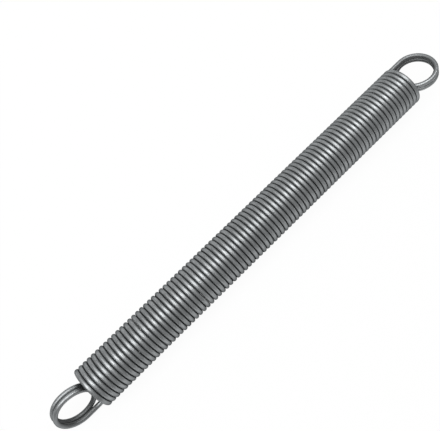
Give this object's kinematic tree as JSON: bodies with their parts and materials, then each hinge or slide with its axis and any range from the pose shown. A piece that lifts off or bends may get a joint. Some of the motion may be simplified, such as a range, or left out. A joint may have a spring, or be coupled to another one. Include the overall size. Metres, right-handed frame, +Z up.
{
  "type": "extension spring",
  "caption": "Close-wound round wire extension spring with a double loop bent up at each end, the two loops square to each other.",
  "frame": {"origin": "middle of the spring's length, below its axis, on the surface that the spring lies on", "axes": "+X along the spring's axis, +Z up from the surface it lies on, +Y across; the body is wound to the right about +X"},
  "size_m": [0.186, 0.0164, 0.0163],
  "materials": {
    "spring_wire": "drawn steel spring wire, semi-gloss, mid grey"
  },
  "bodies": {
    "root": {"spring": "spring_wire"}
  },
  "joints": []
}
